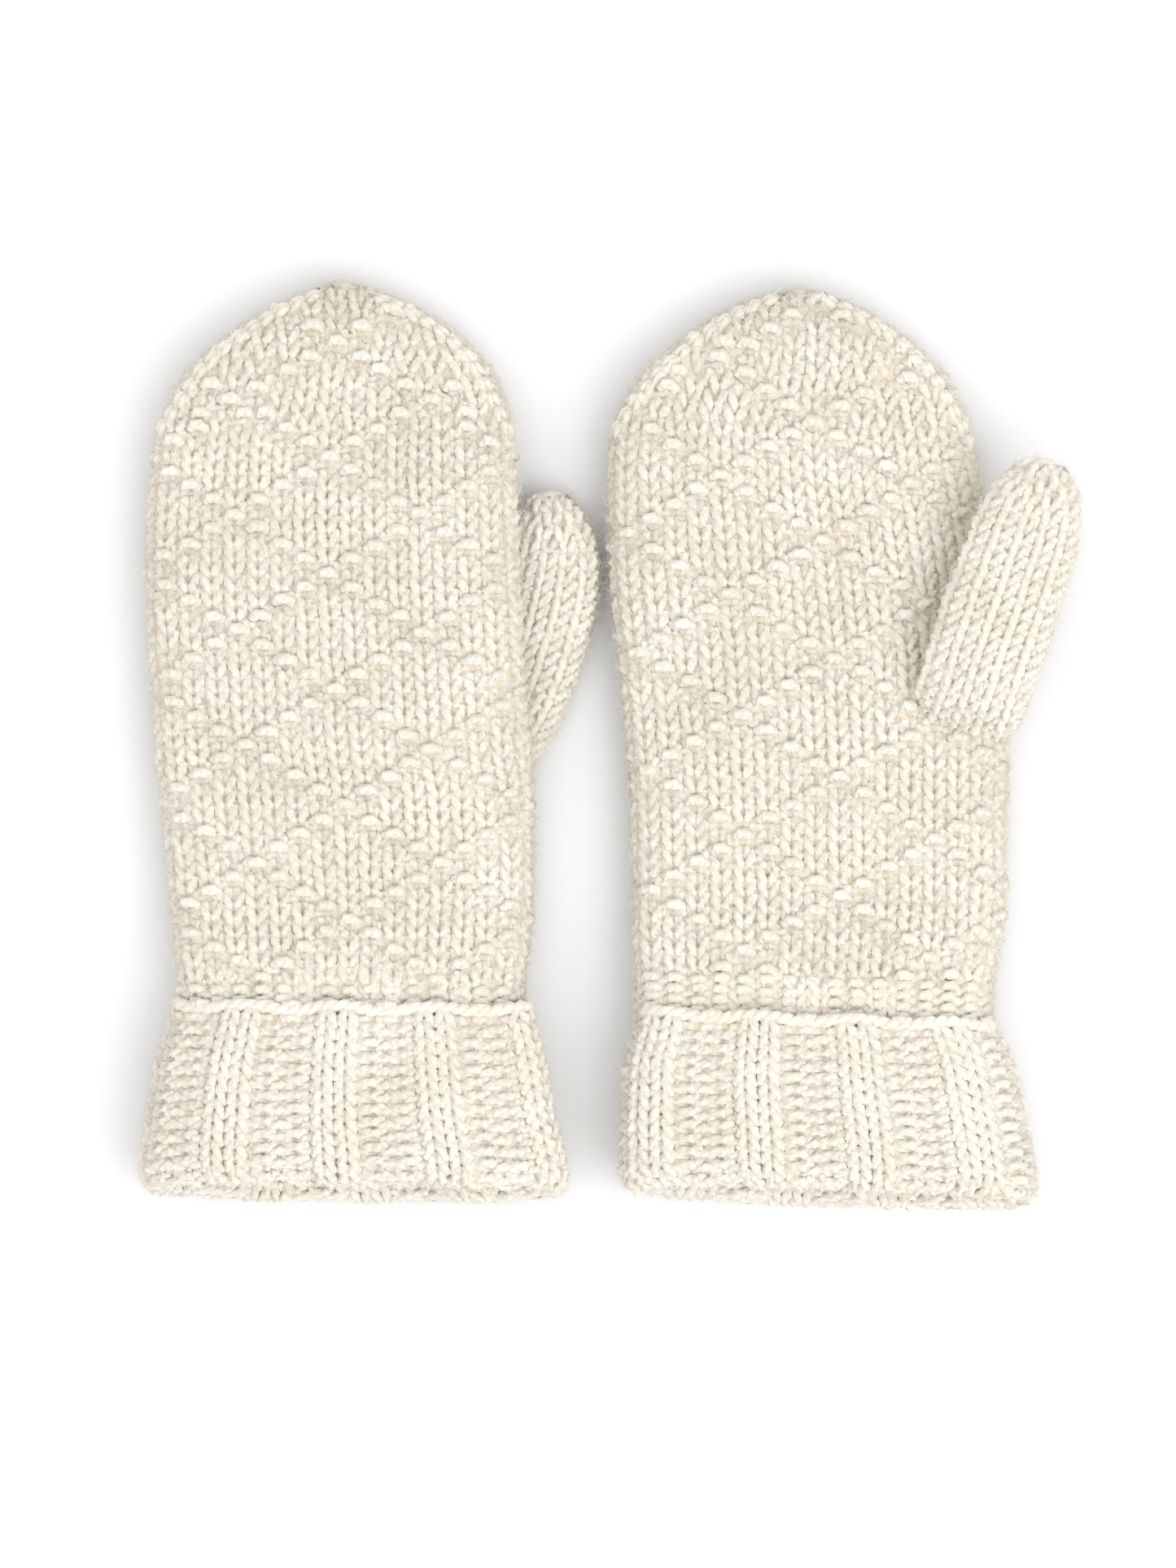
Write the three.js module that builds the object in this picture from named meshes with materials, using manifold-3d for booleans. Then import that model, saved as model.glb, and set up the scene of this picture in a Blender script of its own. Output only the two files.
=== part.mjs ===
// A pair of hand-knitted wool mittens lying flat side by side.
// Millimetres, +Z up, fingers towards +Y, the table is the plane z = 0.
// The left mitten lies back up with its thumb under its right edge.
// The right mitten lies palm up with its thumb over its right edge.
import * as THREE from 'three';
import Module from 'manifold-3d';
import { mergeVertices } from 'three/addons/utils/BufferGeometryUtils.js';

const wasm = await Module();
wasm.setup();

// ---------------------------------------------------------------- dimensions
const AROUND = 24;            // points around a knitted tube
const GAP = 0.4;              // clearance between neighbouring knitted sections
const WALL = 4.5;             // thickness of the knitted fabric
const HAND_H = 21;            // thickness of a mitten lying flat
const TIP_H = 12;             // thickness at the closed finger end
const CUFF_H = 30;            // thickness over the turned-up cuff
const RIB_H = 19.8;           // thickness of the inner rib tube
const WRIST_RISE = 3.5;       // how far the wrist lies above the table, on the turned-up layer
const POWER = 2.5;            // roundness of the tube's section
const FLAT = 1.18;            // how wide the flat underside is
const FOLD_Y = 83.3;          // line across which the finger end folds
const SLANT = 7.6;            // the back half of the cuff lies this much lower
const THUMB_H = 13.2;         // thickness of a thumb lying flat
const THUMB_WALL = 3.4;       // fabric thickness of a thumb
const NECK_R = 7.5;           // outer radius of the thumb's neck in the hand
const NECK_BORE = 4.6;        // inner radius of the thumb's neck
const NECK_HOLE = 8.0;        // radius of the thumb opening in the hand
const LIFT = 14.2;            // how high the left hand's edge lies on its thumb
const LIFT_TOP = 6.4;         // how far that raises the upper face
const SHIFT = [-0.1, 0.77, 0]; // brings the origin under the middle of the pair

// Outlines: [y, left x, right x] from the finger tip down to the wrist.
const LEFT_OUTLINE = [
  [125.1, -78.6, -65.3], [123.3, -84.4, -59.7], [121.1, -90.0, -53.2], [118.5, -95.4, -47.6],
  [113.0, -103.2, -39.8], [107.5, -109.7, -34.1], [102.0, -115.4, -30.0], [96.5, -119.2, -27.5],
  [91.0, -121.6, -25.9], [85.5, -123.4, -24.8], [80.0, -124.5, -23.9], [69.0, -125.6, -23.3],
  [47.0, -126.5, -22.4], [25.0, -125.6, -21.5], [3.0, -124.1, -19.9], [-19.0, -121.9, -19.1],
  [-41.0, -119.9, -19.3], [-52.0, -118.8, -20.2], [-64.0, -117.0, -22.0], [-75.0, -116.8, -22.2]];
const RIGHT_OUTLINE = [
  [122.9, 44.2, 59.8], [121.1, 36.4, 67.2], [118.5, 29.6, 73.2], [113.0, 22.6, 81.0],
  [107.5, 16.0, 87.6], [102.0, 9.6, 92.5], [96.5, 5.0, 95.8], [91.0, 1.5, 98.1],
  [85.5, -1.2, 99.4], [80.0, -2.5, 100.8], [69.0, -3.7, 102.6], [47.0, -4.1, 106.4],
  [25.0, -2.3, 108.5], [3.0, 0.3, 109.2], [-19.0, 2.3, 108.8], [-41.0, 3.2, 108.5],
  [-52.0, 3.8, 107.0], [-62.0, 5.4, 104.6], [-75.0, 6.0, 104.2]];
const LEFT_CUFF = [
  [-68.0, -118.0, -20.0], [-74.0, -119.4, -19.2], [-79.5, -121.6, -17.4], [-85.0, -123.4, -16.1],
  [-96.0, -125.4, -14.1], [-107.0, -127.2, -11.0], [-112.5, -128.0, -9.2], [-118.5, -126.8, -9.6]];
const RIGHT_CUFF = [
  [-69.0, 6.8, 105.4], [-74.0, 6.9, 105.3], [-79.5, 5.0, 109.4], [-85.0, 2.5, 111.5],
  [-96.0, 1.8, 114.1], [-107.0, 1.6, 116.6], [-113.0, 1.4, 117.4], [-119.6, 3.2, 116.4]];

// The two mittens.  tilt: how far the rows rise per millimetre across.
const MITTENS = {
  left: {
    outline: LEFT_OUTLINE, cuff: LEFT_CUFF, tilt: -0.010, tip: 126.2,
    weltTop: -62.4, weltEnd: -67.6, cuffTop: -70.4, cuffEnd: -118.2,
    thumb: { hinge: [-34, 18], from: [-28.2, 8.4], to: [-15.6, 69.8], z: 0, under: true },
  },
  right: {
    outline: RIGHT_OUTLINE, cuff: RIGHT_CUFF, tilt: -0.036, tip: 124.2,
    weltTop: -59.8, weltEnd: -70.6, cuffTop: -73.4, cuffEnd: -119.4,
    thumb: { hinge: [97, 19], from: [97.0, 8.6], to: [118.0, 77.2], z: 21.3, under: false },
  },
};
// Half width and thickness factor of a thumb along its length (0 base, 1 tip).
const THUMB_PROFILE = [
  [0.00, 10.5, 0.70], [0.035, 13.2, 0.88], [0.09, 15.2, 1.0], [0.25, 16.2, 1.0], [0.50, 16.4, 1.0],
  [0.72, 15.6, 1.0], [0.84, 13.8, 0.97], [0.92, 11.0, 0.88], [0.97, 7.6, 0.72]];

// ------------------------------------------------------------------- helpers
const clamp = (t) => Math.min(1, Math.max(0, t));
const smooth = (a, b, x) => { const t = clamp((x - a) / (b - a)); return t * t * (3 - 2 * t); };

// Straight-line reading of a table sorted by falling or rising first value.
function read(table, x, column) {
  const rows = table[0][0] > table[table.length - 1][0] ? [...table].reverse() : table;
  if (x <= rows[0][0]) return rows[0][column];
  for (let i = 1; i < rows.length; i++) {
    if (x <= rows[i][0]) {
      const t = (x - rows[i - 1][0]) / (rows[i][0] - rows[i - 1][0]);
      return rows[i - 1][column] * (1 - t) + rows[i][column] * t;
    }
  }
  return rows[rows.length - 1][column];
}

// A closed rounded section with a flat underside: [across, up] in -1..1.
const RING = [];
for (let i = 0; i < AROUND; i++) {
  const t = (i + 0.5) / AROUND * Math.PI * 2;
  const c = Math.cos(t), s = Math.sin(t);
  const x = Math.sign(c) * Math.abs(c) ** (2 / POWER);
  let z = Math.sign(s) * Math.abs(s) ** (2 / POWER);
  if (z < 0) z = Math.max(-1, z * FLAT);
  RING.push([x, z]);
}

function handHeight(y) {
  return TIP_H + (HAND_H - TIP_H) * Math.sqrt(clamp(1 - ((Math.max(y, 96) - 96) / 32) ** 2));
}

// Moves a point of the left hand up where it lies over its own thumb.
function overThumb(mitten, x, y, z) {
  if (!mitten.thumb.under) return z;
  const m = smooth(-58, -47, x) * smooth(-14, 3, y) * (1 - smooth(74, 96, y));
  const t = clamp(z / HAND_H);
  return z + m * (LIFT * (1 - t) + LIFT_TOP * t);
}

// One ring of points of the hand tube at height y, moved in by inset.
function handRing(mitten, y, inset) {
  const xl = read(mitten.outline, y, 1) + inset, xr = read(mitten.outline, y, 2) - inset;
  const h = handHeight(y) - 2 * inset;
  return RING.map(([u, w]) => {
    const x = (xl + xr) / 2 + u * (xr - xl) / 2;
    const z = inset + (w + 1) / 2 * h + WRIST_RISE * smooth(-38, -60, y);
    const centre = (xl + xr) / 2;
    return [x, y + mitten.tilt * (x - centre), overThumb(mitten, x, y, z)];
  });
}

// One ring of the wrist: plain tube of given left, right, floor and height,
// with its lower half reaching further down near the fold.
function wristRing(mitten, y, xl, xr, zLow, h, inset) {
  const centre = (xl + xr) / 2;
  return RING.map(([u, w]) => {
    const x = centre + u * (xr - xl - 2 * inset) / 2;
    const z = zLow + inset + (w + 1) / 2 * (h - 2 * inset);
    const drop = SLANT * (1 - clamp(z / CUFF_H)) * smooth(mitten.cuffTop, mitten.cuffEnd, y);
    return [x, y + mitten.tilt * (x - centre) - drop, z];
  });
}

// A closed ring-shaped solid from successive loops that come back to the first.
function loopsToRing(loops) {
  const position = [], index = [];
  for (const loop of loops) for (const p of loop) position.push(...p);
  const n = loops[0].length, m = loops.length;
  for (let j = 0; j < m; j++) {
    for (let i = 0; i < n; i++) {
      const a = j * n + i, b = j * n + (i + 1) % n;
      const c = ((j + 1) % m) * n + i, d = ((j + 1) % m) * n + (i + 1) % n;
      index.push(a, b, d, a, d, c);
    }
  }
  return closed(position, index);
}

// A closed solid from successive loops with a flat cap at both ends.
function loopsToSolid(loops) {
  const position = [], index = [];
  for (const loop of loops) for (const p of loop) position.push(...p);
  const n = loops[0].length, m = loops.length;
  for (let j = 0; j < m - 1; j++) {
    for (let i = 0; i < n; i++) {
      const a = j * n + i, b = j * n + (i + 1) % n, c = a + n, d = b + n;
      index.push(a, b, d, a, d, c);
    }
  }
  for (const [j, flip] of [[0, true], [m - 1, false]]) {
    const centre = [0, 1, 2].map((k) => loops[j].reduce((s, p) => s + p[k], 0) / n);
    const q = position.length / 3;
    position.push(...centre);
    for (let i = 0; i < n; i++) {
      const a = j * n + i, b = j * n + (i + 1) % n;
      if (flip) index.push(b, a, q); else index.push(a, b, q);
    }
  }
  return closed(position, index);
}

// A geometry whose faces point out, whichever way its loops ran.
function closed(position, index) {
  let volume = 0;
  const v = (i) => new THREE.Vector3(position[3 * i], position[3 * i + 1], position[3 * i + 2]);
  for (let i = 0; i < index.length; i += 3) {
    volume += v(index[i]).dot(v(index[i + 1]).cross(v(index[i + 2]))) / 6;
  }
  if (volume < 0) for (let i = 0; i < index.length; i += 3) [index[i], index[i + 1]] = [index[i + 1], index[i]];
  const geometry = new THREE.BufferGeometry();
  geometry.setAttribute('position', new THREE.Float32BufferAttribute(position, 3));
  geometry.setIndex(index);
  return geometry;
}

function toManifold(geometry) {
  const g = geometry.clone();
  g.deleteAttribute('normal');
  g.deleteAttribute('uv');
  const merged = mergeVertices(g, 1e-4);
  return new wasm.Manifold(new wasm.Mesh({
    numProp: 3,
    vertProperties: new Float32Array(merged.attributes.position.array),
    triVerts: new Uint32Array(merged.index.array),
  }));
}

function fromManifold(solid) {
  const mesh = solid.getMesh();
  const geometry = new THREE.BufferGeometry();
  geometry.setAttribute('position', new THREE.Float32BufferAttribute(mesh.vertProperties, 3));
  geometry.setIndex([...mesh.triVerts]);
  return geometry;
}

// An upright round bar between two heights.
function bar(x, y, radius, z0, z1) {
  const g = new THREE.CylinderGeometry(radius, radius, z1 - z0, 20);
  g.rotateX(Math.PI / 2);
  g.translate(x, y, (z0 + z1) / 2);
  return toManifold(g);
}

// -------------------------------------------------------------------- colours
const WOOL = { hand: 0xebe5d7, thumb: 0xf0eadd, cuff: 0xede7db, edge: 0xf1ecdf };
const wool = (colour) => new THREE.MeshStandardMaterial({ color: colour, roughness: 0.95, metalness: 0 });

const pair = new THREE.Group();
function add(name, geometry, colour) {
  geometry.translate(...SHIFT);
  const mesh = new THREE.Mesh(geometry, wool(colour));
  mesh.name = name;
  pair.add(mesh);
}

// ------------------------------------------------------------------- sections
// The tube of the hand between the welt and the fold line, with its thumb opening.
function hand(mitten) {
  const ys = [mitten.weltTop, -54, -46, -38, -14, -8, -3, 4, 16, 30, 50, 69, 76, FOLD_Y - GAP / 2];
  const loops = ys.map((y) => handRing(mitten, y, 0)).concat([...ys].reverse().map((y) => handRing(mitten, y, WALL)));
  const tube = toManifold(loopsToRing(loops));
  const [x, y] = mitten.thumb.hinge;
  const hole = mitten.thumb.under ? bar(x, y, NECK_HOLE, -1, 19.5) : bar(x, y, NECK_HOLE, 12, 30);
  return fromManifold(tube.subtract(hole));
}

// The finger end above the fold line, open at the last gathered round.
function fingerEnd(mitten) {
  const top = mitten.outline[0][0];
  const ys = [FOLD_Y + GAP / 2, 91, 98, 104, 110, 115, 119, top];
  const inner = [FOLD_Y + GAP / 2, 91, 98, 104, 110, 114.5];
  const loops = ys.map((y) => handRing(mitten, y, 0));
  loops.push(handRing(mitten, top, 2.2));
  for (const y of inner.reverse()) loops.push(handRing(mitten, y, WALL));
  return loopsToRing(loops);
}

// The gathered last stitches that close the finger end.
function tipClosure(mitten) {
  const top = mitten.outline[0][0];
  const span = mitten.tip - top - GAP;
  const base = handRing(mitten, top, 0.6);
  const centre = [0, 1, 2].map((k) => base.reduce((s, p) => s + p[k], 0) / base.length);
  const scaled = (s, dy) => base.map((p) => [
    centre[0] + (p[0] - centre[0]) * s, p[1] + GAP + dy, centre[2] + (p[2] - centre[2]) * s]);
  return loopsToSolid([scaled(1, 0), scaled(0.86, span * 0.55), scaled(0.5, span)]);
}

// The purl rounds between the hand and the ribbing.
function welt(mitten) {
  const ys = [mitten.weltEnd, (mitten.weltEnd + mitten.weltTop) / 2, mitten.weltTop - GAP];
  const loops = ys.map((y) => handRing(mitten, y, 0)).concat([...ys].reverse().map((y) => handRing(mitten, y, WALL)));
  return loopsToRing(loops);
}

// The inner layer of the ribbed cuff, a plain straight tube.
function ribTube(mitten) {
  const c = mitten.cuff;
  const xl = c[0][1] + WALL + 0.6, xr = c[0][2] - WALL - 0.6;
  const z = WALL + 0.6;
  const ys = [mitten.cuffEnd + WALL + GAP, -108, -96, -84, mitten.weltEnd - GAP];
  const loops = ys.map((y) => wristRing(mitten, y, xl, xr, z, RIB_H, 0));
  for (const y of [...ys].reverse()) loops.push(wristRing(mitten, y, xl, xr, z, RIB_H, WALL));
  return loopsToRing(loops);
}

// The outer layer of the ribbed cuff with the fold that turns in under the tube.
function cuffTurnUp(mitten) {
  const c = mitten.cuff;
  const at = (y, inset) => {
    const xl = read(c, y, 1), xr = read(c, y, 2);
    return wristRing(mitten, y, xl, xr, 0, CUFF_H, inset);
  };
  const end = mitten.cuffEnd, top = mitten.cuffTop;
  const xl = c[0][1] + WALL + 0.6, xr = c[0][2] - WALL - 0.6;
  const lip = (y) => wristRing(mitten, y, xl, xr, WALL + 0.6, RIB_H, WALL);
  return loopsToRing([
    at(end, 1.6), at(end + 2, 0.2), at(end + 6, 0), at(-107, 0), at(-96, 0), at(-85, 0), at(-79, 0), at(top, 0),
    at(top, WALL), at(-79, WALL), at(-85, WALL), at(-96, WALL), at(-107, WALL), at(end + WALL, WALL),
    lip(end + WALL), lip(end)]);
}

// The smooth cast-on edge lying round the top of the turned-up cuff.
function castOnEdge(mitten) {
  const c = mitten.cuff;
  const y0 = mitten.cuffTop + GAP, y1 = mitten.weltEnd - GAP - 0.1;
  const at = (y, inset) => wristRing(mitten, y, c[0][1], c[0][2], 0, CUFF_H, inset);
  return loopsToRing([at(y0, 0.8), at(y1, 0.8), at(y1, WALL), at(y0, WALL)]);
}

// A thumb: a flattened tube with a round neck that stands in the hand's opening.
function thumbLoops(mitten, inset, from, to) {
  const t = mitten.thumb;
  const a = new THREE.Vector2(...t.from), b = new THREE.Vector2(...t.to);
  const along = b.clone().sub(a), side = new THREE.Vector2(along.y, -along.x).normalize();
  const stations = THUMB_PROFILE.filter(([s]) => s >= from && s <= to);
  return stations.map(([s, half, k]) => {
    const p = a.clone().addScaledVector(along, s);
    const h = THUMB_H * k;
    const z0 = t.z + (THUMB_H - h) * (t.under ? 0.35 : 0.5);
    return RING.filter((_, i) => i % 2 === 0).map(([u, w]) => {
      const q = p.clone().addScaledVector(side, u * (half - inset));
      return [q.x, q.y, z0 + inset + (w + 1) / 2 * (h - 2 * inset)];
    });
  });
}

function thumb(mitten) {
  const t = mitten.thumb;
  const outer = toManifold(loopsToSolid(thumbLoops(mitten, 0, 0, 1)));
  const inner = toManifold(loopsToSolid(thumbLoops(mitten, THUMB_WALL, 0.09, 0.92)));
  const dx = t.to[0] - t.from[0], dy = t.to[1] - t.from[1];
  const last = thumbLoops(mitten, 2.6, 0.97, 1)[0];
  const mouth = toManifold(loopsToSolid([thumbLoops(mitten, 4.3, 0.84, 0.85)[0], thumbLoops(mitten, 3.6, 0.92, 0.93)[0],
    last, last.map((p) => [p[0] + dx * 0.03, p[1] + dy * 0.03, p[2]])]));
  const [x, y] = t.hinge;
  const middle = t.z + THUMB_H / 2;
  const neck = t.under ? bar(x, y, NECK_R, middle, 18) : bar(x, y, NECK_R, 15.5, middle);
  const bore = t.under ? bar(x, y, NECK_BORE, middle, 19) : bar(x, y, NECK_BORE, 14, middle);
  return fromManifold(outer.add(neck).subtract(inner.add(bore).add(mouth)));
}

// The gathered last stitches that close the thumb.
function thumbClosure(mitten) {
  const t = mitten.thumb;
  const base = thumbLoops(mitten, 0.5, 0.97, 1)[0];
  const n = base.length;
  const centre = [0, 1, 2].map((k) => base.reduce((s, p) => s + p[k], 0) / n);
  const d = new THREE.Vector2(t.to[0] - t.from[0], t.to[1] - t.from[1]);
  const rest = d.length() * 0.03;
  d.normalize();
  const at = (s, step) => base.map((p) => [
    centre[0] + (p[0] - centre[0]) * s + d.x * step,
    centre[1] + (p[1] - centre[1]) * s + d.y * step,
    centre[2] + (p[2] - centre[2]) * s]);
  return loopsToSolid([at(1, GAP), at(0.85, rest * 0.6), at(0.5, rest)]);
}

// --------------------------------------------------------------------- object
for (const [side, mitten] of Object.entries(MITTENS)) {
  add(`${side}_hand`, hand(mitten), WOOL.hand);
  add(`${side}_finger_end`, fingerEnd(mitten), WOOL.hand);
  add(`${side}_finger_tip_gather`, tipClosure(mitten), WOOL.hand);
  add(`${side}_thumb`, thumb(mitten), WOOL.thumb);
  add(`${side}_thumb_tip_gather`, thumbClosure(mitten), WOOL.thumb);
  add(`${side}_purl_welt`, welt(mitten), WOOL.cuff);
  add(`${side}_inner_rib`, ribTube(mitten), WOOL.cuff);
  add(`${side}_turned_up_rib`, cuffTurnUp(mitten), WOOL.cuff);
  add(`${side}_cast_on_edge`, castOnEdge(mitten), WOOL.edge);
}

export default pair;
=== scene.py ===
# A pair of hand-knitted wool mittens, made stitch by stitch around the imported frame.
import math
import bpy
import numpy as np
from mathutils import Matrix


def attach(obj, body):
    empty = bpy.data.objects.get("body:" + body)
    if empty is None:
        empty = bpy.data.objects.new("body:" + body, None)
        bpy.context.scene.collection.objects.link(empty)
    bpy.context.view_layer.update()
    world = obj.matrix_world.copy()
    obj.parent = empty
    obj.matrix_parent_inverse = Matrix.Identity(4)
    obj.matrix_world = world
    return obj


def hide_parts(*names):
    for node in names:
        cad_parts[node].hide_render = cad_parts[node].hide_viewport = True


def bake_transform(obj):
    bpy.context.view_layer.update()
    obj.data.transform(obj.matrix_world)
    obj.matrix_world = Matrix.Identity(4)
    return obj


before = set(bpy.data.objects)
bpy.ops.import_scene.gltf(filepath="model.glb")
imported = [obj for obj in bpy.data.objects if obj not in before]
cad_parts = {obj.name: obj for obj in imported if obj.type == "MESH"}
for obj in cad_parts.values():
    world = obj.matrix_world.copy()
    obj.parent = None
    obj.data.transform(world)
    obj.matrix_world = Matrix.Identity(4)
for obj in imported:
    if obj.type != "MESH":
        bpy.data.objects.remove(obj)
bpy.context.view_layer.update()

MM = 0.001
SHIFT = np.array([-0.1, 0.77, 0.0])

# ------------------------------------------------------------------ dimensions, mm
HAND_H, TIP_H, CUFF_H = 21.0, 12.0, 30.0
WRIST_RISE, SLANT, FOLD_Y = 3.5, 7.6, 83.3
LIFT, LIFT_TOP = 14.2, 6.4
POWER = 2.5
SKIN = 3.0                 # from the outer face of the fabric to its middle
YARN_R = 1.47              # radius of the wool strand
DEPTH = 1.32               # how far a strand weaves to each side of the middle
WIDEN = 0.225              # how far a loop bulges sideways, in stitches
REACH = 0.86               # how far a loop reaches up and down, in rows
SIDES, STEPS = 12, 15      # sides of a strand, steps to a stitch
PLIES, PLY_DEPTH, PLY_TURN = 3, 0.095, 10.0   # strands twisted together, their relief, mm to a turn

OUTLINE = {
    "left": [
        (126.2, -72.6, -71.4), (125.1, -78.6, -65.3), (123.3, -84.4, -59.7), (121.1, -90.0, -53.2), (118.5, -95.4, -47.6),
        (113.0, -103.2, -39.8), (107.5, -109.7, -34.1), (102.0, -115.4, -30.0), (96.5, -119.2, -27.5),
        (91.0, -121.6, -25.9), (85.5, -123.4, -24.8), (80.0, -124.5, -23.9), (69.0, -125.6, -23.3),
        (47.0, -126.5, -22.4), (25.0, -125.6, -21.5), (3.0, -124.1, -19.9), (-19.0, -121.9, -19.1),
        (-41.0, -119.9, -19.3), (-52.0, -118.8, -20.2), (-64.0, -117.0, -22.0), (-75.0, -116.8, -22.2), (-90.0, -116.8, -22.2)],
    "right": [
        (124.2, 51.4, 52.6), (122.9, 44.2, 59.8), (121.1, 36.4, 67.2), (118.5, 29.6, 73.2), (113.0, 22.6, 81.0),
        (107.5, 16.0, 87.6), (102.0, 9.8, 92.5), (96.5, 5.4, 95.8), (91.0, 2.2, 98.1),
        (85.5, -0.1, 99.4), (80.0, -1.1, 100.8), (69.0, -1.5, 102.6), (47.0, -0.9, 106.4),
        (25.0, 1.0, 108.5), (3.0, 3.5, 109.2), (-19.0, 4.9, 108.8), (-41.0, 5.3, 108.5),
        (-52.0, 5.4, 107.0), (-62.0, 6.0, 104.6), (-75.0, 6.2, 104.2), (-90.0, 6.2, 104.2)],
}
CUFF = {
    "left": [
        (-60.0, -117.6, -20.4), (-68.0, -118.0, -20.0), (-74.0, -119.4, -19.2), (-79.5, -121.6, -17.4), (-85.0, -123.4, -16.1),
        (-96.0, -125.4, -14.1), (-107.0, -127.2, -11.0), (-112.5, -128.0, -9.2), (-118.5, -126.8, -9.6), (-130.0, -126.8, -9.6)],
    "right": [
        (-60.0, 6.8, 105.2), (-69.0, 6.8, 105.4), (-74.0, 6.9, 105.3), (-79.5, 5.0, 109.4), (-85.0, 2.5, 111.5),
        (-96.0, 1.8, 114.1), (-107.0, 1.6, 116.6), (-113.0, 1.4, 117.4), (-119.6, 3.2, 116.4), (-130.0, 3.2, 116.4)],
}
SIDE = {
    "left": dict(tilt=-0.010, tip=126.2, first=-63.03, pitch=3.894, rows=48, welt_rows=4, welt_pitch=3.0, phase=-0.4,
                 cross=(7, 4), cuff_top=-70.4, cuff_end=-118.2, rib_phase=-0.0085, rib_pitch=3.43, under=True,
                 thumb_from=(-28.2, 8.4), thumb_to=(-15.6, 69.8), thumb_z=0.0, seed=11),
    "right": dict(tilt=-0.036, tip=124.2, first=-60.83, pitch=4.004, rows=46, welt_rows=7, welt_pitch=2.78, phase=-0.3,
                  cross=(8, 5), cuff_top=-73.4, cuff_end=-119.4, rib_phase=0.0527, rib_pitch=3.33, under=False,
                  thumb_from=(97.0, 8.6), thumb_to=(118.0, 77.2), thumb_z=21.3, seed=23),
}
THUMB_H = 13.2
THUMB_STITCHES = 10


def smooth(a, b, x):
    t = np.clip((np.asarray(x, float) - a) / (b - a), 0.0, 1.0)
    return t * t * (3 - 2 * t)


def table(rows):
    """Smooth readings of an outline: its centre and half width at a height."""
    rows = sorted(rows)
    y = np.array([r[0] for r in rows], float)
    lo = np.array([r[1] for r in rows], float)
    hi = np.array([r[2] for r in rows], float)
    ys = np.arange(y[0], y[-1] + 0.25, 0.25)
    centre = np.interp(ys, y, (lo + hi) / 2)
    square = np.interp(ys, y, ((hi - lo) / 2) ** 2)
    k = np.exp(-0.5 * (np.arange(-24, 25) / 9.0) ** 2)
    k /= k.sum()

    def blur(a):
        pad = np.concatenate([2 * a[0] - a[24:0:-1], a, 2 * a[-1] - a[-2:-26:-1]])
        return np.convolve(pad, k, "valid")
    centre, square = blur(centre), np.maximum(blur(square), 0.5)
    return lambda q: (np.interp(q, ys, centre), np.sqrt(np.interp(q, ys, square)))


def section(n, power=POWER, low=None):
    """The upper and lower halves of a rounded ring as dense lines of points, which callers space evenly by length; n is
    not used.
    """
    low = low or power
    t = np.linspace(0, math.pi, 721)
    out = []
    for p, flip in ((power, 1), (low, -1)):
        x = np.sign(np.cos(t)) * np.abs(np.cos(t)) ** (2 / p)
        z = flip * np.abs(np.sin(t)) ** (2 / p)
        if flip < 0:
            x = -x
        out.append((x, z))
    return out


def even(x, y, z, n):
    """Points of an open line at n even steps, without the last."""
    d = np.sqrt(np.diff(x) ** 2 + np.diff(y) ** 2 + np.diff(z) ** 2)
    s = np.concatenate([[0], np.cumsum(d)])
    q = np.linspace(0, s[-1], n + 1)[:-1]
    return np.stack([np.interp(q, s, x), np.interp(q, s, y), np.interp(q, s, z)], -1)


class Surface:
    """The middle of a knitted tube: a grid of points by row and round."""

    def __init__(self, points, v0, dv, outward):
        self.p, self.v0, self.dv = points, v0, dv
        ds = np.roll(points, -1, 1) - np.roll(points, 1, 1)
        dr = np.gradient(points, axis=0)
        n = np.cross(ds, dr)
        n /= np.maximum(np.linalg.norm(n, axis=-1, keepdims=True), 1e-9)
        mid = points.mean(1, keepdims=True)
        facing = ((points - mid) * n).sum(-1)[:max(2, len(points) // 8)].mean()
        self.n = n * (1.0 if (facing > 0) == outward else -1.0)

    def at(self, v, s):
        k, m = self.p.shape[:2]
        a = np.clip((v - self.v0) / self.dv, 0, k - 1.001)
        i = a.astype(int)
        fa = (a - i)[:, None]
        b = (s % 1.0) * m
        j = b.astype(int) % m
        fb = (b - np.floor(b))[:, None]
        j2 = (j + 1) % m
        i2 = np.minimum(i + 1, k - 1)

        def mix(g):
            return (g[i, j] * (1 - fa) * (1 - fb) + g[i2, j] * fa * (1 - fb)
                    + g[i, j2] * (1 - fa) * fb + g[i2, j2] * fa * fb)
        n = mix(self.n)
        n /= np.maximum(np.linalg.norm(n, axis=1, keepdims=True), 1e-9)
        return mix(self.p), n


# ------------------------------------------------------------------------ meshes
ROUGH = np.random.default_rng(4)


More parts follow.
